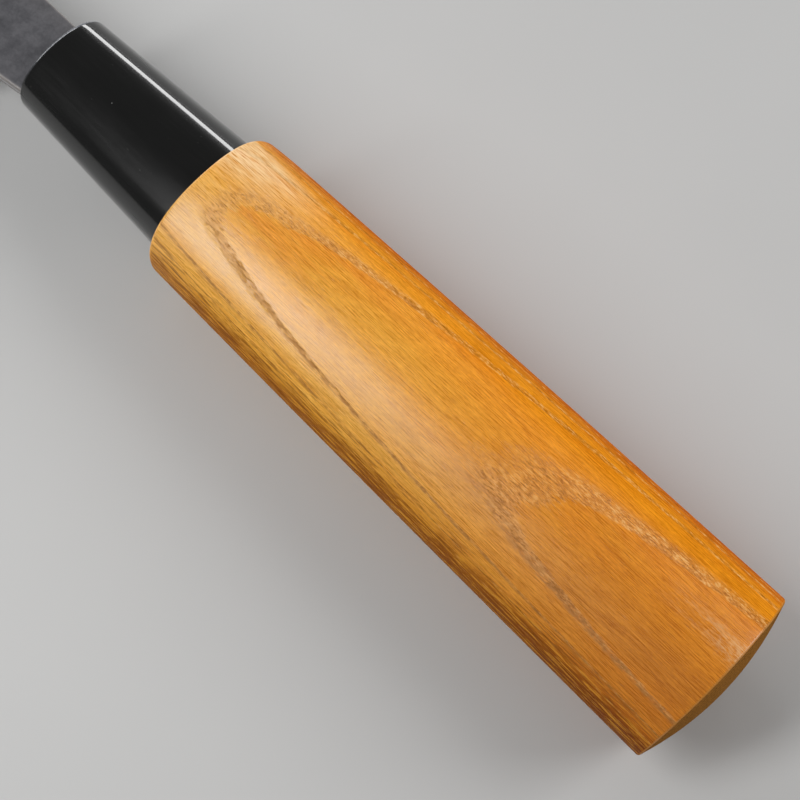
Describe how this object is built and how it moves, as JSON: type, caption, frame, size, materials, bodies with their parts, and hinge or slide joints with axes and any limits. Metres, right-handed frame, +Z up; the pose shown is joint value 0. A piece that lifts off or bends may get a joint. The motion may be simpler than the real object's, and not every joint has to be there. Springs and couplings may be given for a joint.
{
  "type": "petty knife",
  "caption": "Small kitchen knife with a hidden-tang laminated steel blade, a tapered glossy black ferrule and an oval tapered wooden handle.",
  "frame": {"origin": "under the middle of the knife's outline, on the surface that the knife lies on", "axes": "+X along the handle's axis to the blade's tip, +Y from the spine to the cutting edge, +Z up out of the knife's left side"},
  "size_m": [0.2544, 0.035, 0.0205],
  "materials": {
    "core_steel": "ground bright edge of hard steel",
    "cladding_steel": "dark grey mottled forge finish",
    "wood": "orange ring-porous hardwood, satin lacquer",
    "black_resin": "polished black",
    "adhesive": "hardened amber adhesive",
    "seal": "matt black fill"
  },
  "bodies": {
    "root": {"blade_core": "core_steel", "blade_cladding_left": "cladding_steel", "blade_cladding_right": "cladding_steel", "handle": "wood", "ferrule": "black_resin", "ferrule_glue": "adhesive", "tang_bedding": "adhesive", "mouth_seal": "seal"}
  },
  "joints": []
}
